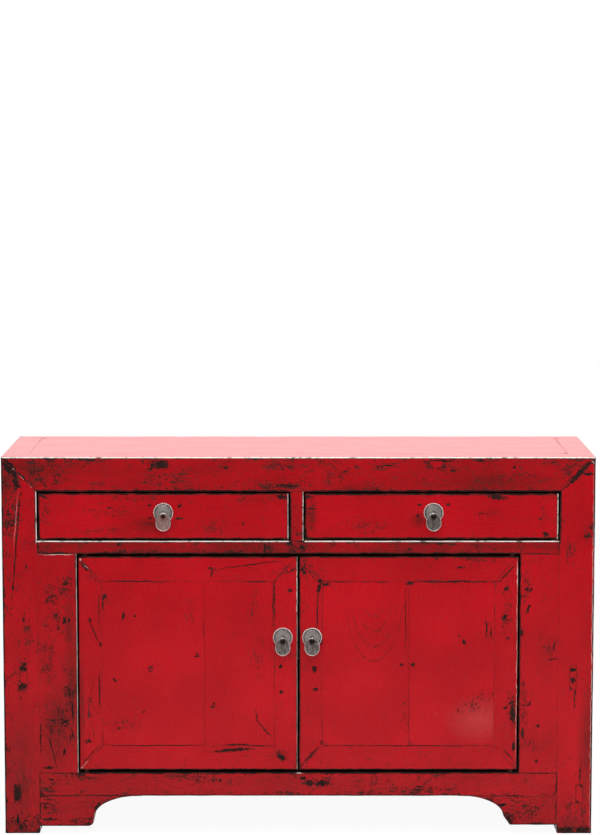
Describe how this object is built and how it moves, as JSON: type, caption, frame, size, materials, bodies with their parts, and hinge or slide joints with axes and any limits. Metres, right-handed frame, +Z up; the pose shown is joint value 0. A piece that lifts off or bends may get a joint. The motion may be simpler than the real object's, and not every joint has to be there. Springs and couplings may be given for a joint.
{
  "type": "wedding cabinet",
  "caption": "Low red lacquered wooden cabinet with drawers over doors that turn on wooden pins, mitred post corners, shaped aprons at the feet and drop pulls.",
  "frame": {"origin": "on the floor, in the middle of the whole footprint, with the pulls included", "axes": "+X to the right along the front, +Y from the front to the back, +Z up"},
  "size_m": [1.32, 0.4054, 0.855],
  "materials": {
    "red_lacquered_wood": "worn red lacquer over softwood",
    "bare_softwood": "aged bare softwood",
    "white_brass": "dull aged white brass"
  },
  "bodies": {
    "carcass": {"apron_bracket_left": "red_lacquered_wood", "apron_bracket_right": "red_lacquered_wood", "back_panels": "red_lacquered_wood", "back_rail": "red_lacquered_wood", "bottom_rail_back": "red_lacquered_wood", "bottom_rail_front": "red_lacquered_wood", "bottom_rail_left": "red_lacquered_wood", "bottom_rail_right": "red_lacquered_wood", "drawer_divider": "red_lacquered_wood", "drawer_guides": "bare_softwood", "drawer_rail": "red_lacquered_wood", "drawer_runners": "bare_softwood", "filler_board_left": "red_lacquered_wood", "filler_board_right": "red_lacquered_wood", "floor_board": "bare_softwood", "post_back_left": "red_lacquered_wood", "post_back_right": "red_lacquered_wood", "post_front_left": "red_lacquered_wood", "post_front_right": "red_lacquered_wood", "shelf": "bare_softwood", "side_batten_left": "bare_softwood", "side_batten_right": "bare_softwood", "side_panel_left": "red_lacquered_wood", "side_panel_right": "red_lacquered_wood", "top_battens": "bare_softwood", "top_panel": "red_lacquered_wood", "top_rail_back": "red_lacquered_wood", "top_rail_front": "red_lacquered_wood", "top_rail_left": "red_lacquered_wood", "top_rail_right": "red_lacquered_wood"},
    "door_left": {"door_left_bottom_rail": "red_lacquered_wood", "door_left_hinge_stile": "red_lacquered_wood", "door_left_meeting_stile": "red_lacquered_wood", "door_left_panel": "red_lacquered_wood", "door_left_pull_pin": "white_brass", "door_left_pull_plate": "white_brass", "door_left_top_rail": "red_lacquered_wood"},
    "door_left_drop": {"door_left_pull_drop": "white_brass"},
    "door_right": {"door_right_bottom_rail": "red_lacquered_wood", "door_right_hinge_stile": "red_lacquered_wood", "door_right_meeting_stile": "red_lacquered_wood", "door_right_panel": "red_lacquered_wood", "door_right_pull_pin": "white_brass", "door_right_pull_plate": "white_brass", "door_right_top_rail": "red_lacquered_wood"},
    "door_right_drop": {"door_right_pull_drop": "white_brass"},
    "drawer_left": {"drawer_left_back": "bare_softwood", "drawer_left_bottom": "bare_softwood", "drawer_left_front": "red_lacquered_wood", "drawer_left_pull_pin": "white_brass", "drawer_left_pull_plate": "white_brass", "drawer_left_sides": "bare_softwood"},
    "drawer_left_drop": {"drawer_left_pull_drop": "white_brass"},
    "drawer_right": {"drawer_right_back": "bare_softwood", "drawer_right_bottom": "bare_softwood", "drawer_right_front": "red_lacquered_wood", "drawer_right_pull_pin": "white_brass", "drawer_right_pull_plate": "white_brass", "drawer_right_sides": "bare_softwood"},
    "drawer_right_drop": {"drawer_right_pull_drop": "white_brass"}
  },
  "joints": [
    {"name": "door_left_swing", "type": "hinge", "parent": "carcass", "child": "door_left", "pos_m": [-0.477, -0.17625, 0.385], "axis": [0, 0, -1], "range_deg": [0, 105]},
    {"name": "door_right_swing", "type": "hinge", "parent": "carcass", "child": "door_right", "pos_m": [0.477, -0.17625, 0.385], "axis": [0, 0, 1], "range_deg": [0, 105]},
    {"name": "drawer_left_slide", "type": "slide", "parent": "carcass", "child": "drawer_left", "axis": [0, -1, 0], "range_m": [0, 0.28]},
    {"name": "drawer_right_slide", "type": "slide", "parent": "carcass", "child": "drawer_right", "axis": [0, -1, 0], "range_m": [0, 0.28]},
    {"name": "door_left_drop_swing", "type": "hinge", "parent": "door_left", "child": "door_left_drop", "pos_m": [-0.0347, -0.19745, 0.449], "axis": [-1, 0, 0], "range_deg": [-10, 110]},
    {"name": "door_right_drop_swing", "type": "hinge", "parent": "door_right", "child": "door_right_drop", "pos_m": [0.0308, -0.19745, 0.449], "axis": [-1, 0, 0], "range_deg": [-10, 110]},
    {"name": "drawer_left_drop_swing", "type": "hinge", "parent": "drawer_left", "child": "drawer_left_drop", "pos_m": [-0.30025, -0.19495, 0.73], "axis": [-1, 0, 0], "range_deg": [-10, 110]},
    {"name": "drawer_right_drop_swing", "type": "hinge", "parent": "drawer_right", "child": "drawer_right_drop", "pos_m": [0.30075, -0.19495, 0.73], "axis": [-1, 0, 0], "range_deg": [-10, 110]}
  ]
}
